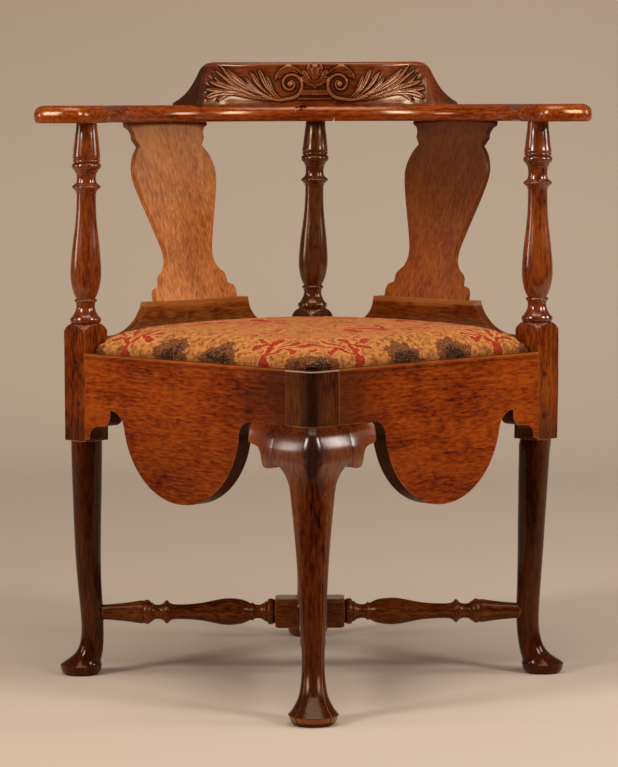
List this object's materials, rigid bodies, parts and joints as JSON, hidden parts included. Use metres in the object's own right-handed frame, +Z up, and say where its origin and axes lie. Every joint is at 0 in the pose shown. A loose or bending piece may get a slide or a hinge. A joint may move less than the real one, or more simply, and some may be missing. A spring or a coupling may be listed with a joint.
{
  "type": "corner chair",
  "caption": "Corner chair: square seat set on its diagonal, cabriole front leg, turned posts, crossed stretchers, curved arms below a carved crest, vase splats and a lift-out padded seat.",
  "frame": {"origin": "on the floor, below the middle of the chair's overall footprint", "axes": "+Z up, +Y towards the back post, so the front leg is at -Y; +X to the right as seen from the front"},
  "size_m": [0.7156, 0.7088, 0.7971],
  "materials": {
    "mahogany": "figured reddish-brown mahogany under an old satin polish",
    "mahogany_turned": "darker turned and carved mahogany, polish worn on the high parts",
    "peg_wood": "end grain of dark hardwood pegs",
    "pine": "aged unpolished pine",
    "maple": "aged unpolished maple",
    "iron": "dull iron",
    "webbing": "woven flax webbing",
    "horsehair": "curled horsehair stuffing under linen",
    "needlework": "wool needlework in gold, crimson and brown"
  },
  "bodies": {
    "frame": {"back_corner_block": "pine", "back_left_rail": "mahogany", "back_post": "mahogany_turned", "back_rail_pegs": "peg_wood", "back_right_rail": "mahogany", "crest_rail": "mahogany", "crest_screws": "iron", "front_corner_block": "pine", "front_left_rail": "mahogany", "front_leg": "mahogany_turned", "front_rail_pegs": "peg_wood", "front_right_rail": "mahogany", "left_arm": "mahogany", "left_corner_block": "pine", "left_knee_bracket": "mahogany_turned", "left_post": "mahogany_turned", "left_shoe": "mahogany", "left_splat": "mahogany", "long_stretcher": "mahogany_turned", "right_arm": "mahogany", "right_corner_block": "pine", "right_knee_bracket": "mahogany_turned", "right_post": "mahogany_turned", "right_shoe": "mahogany", "right_splat": "mahogany", "side_stretcher": "mahogany_turned"},
    "slip_seat": {"seat_cover": "needlework", "seat_frame_back_left": "maple", "seat_frame_back_right": "maple", "seat_frame_front_left": "maple", "seat_frame_front_right": "maple", "seat_stuffing": "horsehair", "webbing_lower": "webbing", "webbing_upper": "webbing"}
  },
  "joints": [
    {"name": "seat_lift", "type": "slide", "parent": "frame", "child": "slip_seat", "axis": [0, 0, 1], "range_m": [0, 0.18]}
  ]
}
